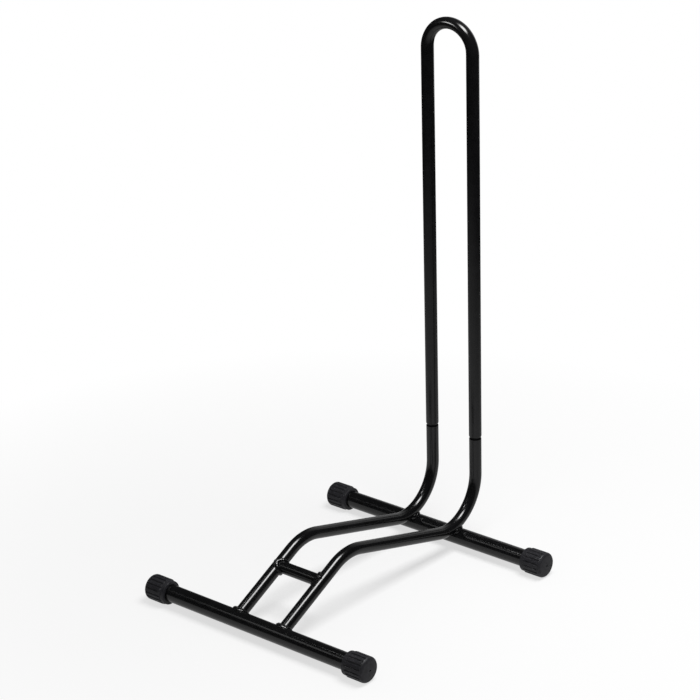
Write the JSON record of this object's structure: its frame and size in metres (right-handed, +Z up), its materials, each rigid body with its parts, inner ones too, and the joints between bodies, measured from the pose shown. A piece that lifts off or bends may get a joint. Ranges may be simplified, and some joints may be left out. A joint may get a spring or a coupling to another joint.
{
  "type": "floor bike rack",
  "caption": "Freestanding steel tube rack that holds one bicycle wheel between two bent side tubes and a tall lift-off hoop, on base bars with ribbed rubber caps.",
  "frame": {"origin": "on the floor, under the middle of the overall width and depth", "axes": "+X along the base bars to the right cap, +Y from the front bar to the rear bar and the hoop, +Z up"},
  "size_m": [0.403, 0.4608, 0.782],
  "materials": {
    "gloss_black_paint": "glossy black powder coat on steel tube and weld beads",
    "end_cap_rubber": "matte charcoal moulded rubber with longitudinal grooves"
  },
  "bodies": {
    "base": {"front_base_bar": "gloss_black_paint", "front_left_end_cap": "end_cap_rubber", "front_right_end_cap": "end_cap_rubber", "rear_base_bar": "gloss_black_paint", "rear_left_end_cap": "end_cap_rubber", "rear_right_end_cap": "end_cap_rubber", "left_side_tube": "gloss_black_paint", "front_left_weld": "gloss_black_paint", "rung_left_weld": "gloss_black_paint", "rear_left_weld": "gloss_black_paint", "right_side_tube": "gloss_black_paint", "front_right_weld": "gloss_black_paint", "rung_right_weld": "gloss_black_paint", "rear_right_weld": "gloss_black_paint", "cross_rung": "gloss_black_paint"},
    "hoop": {"wheel_hoop": "gloss_black_paint"}
  },
  "joints": [
    {"name": "hoop_lift", "type": "slide", "parent": "base", "child": "hoop", "axis": [0, 0, 1], "range_m": [0, 0.05]}
  ]
}
